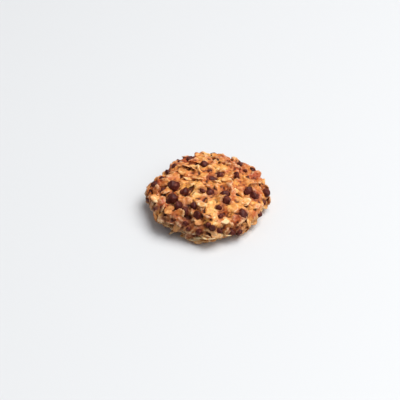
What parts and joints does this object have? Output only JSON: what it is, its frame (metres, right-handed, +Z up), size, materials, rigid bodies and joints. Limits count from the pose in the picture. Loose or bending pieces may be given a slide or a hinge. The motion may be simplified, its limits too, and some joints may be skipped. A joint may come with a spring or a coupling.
{
  "type": "oat cookie with chocolate chips",
  "caption": "Thick round oat cookie with a craggy baked top, rolled oat flakes and small chocolate chips, flat underneath.",
  "frame": {"origin": "on the surface that the cookie lies on, under the middle of its bounding box", "axes": "+Z up, away from the flat underside; +Y away from the picture's viewer, +X to the viewer's right"},
  "size_m": [0.0741, 0.076, 0.0211],
  "materials": {
    "baked_dough": "golden brown baked crust, darker in its cracks, with a slight buttery sheen",
    "toasted_oats": "pale toasted oat flakes, browner at their rims",
    "dark_chocolate": "dark brown chocolate with a soft satin gleam"
  },
  "bodies": {
    "root": {"cookie": "baked_dough"}
  },
  "joints": []
}
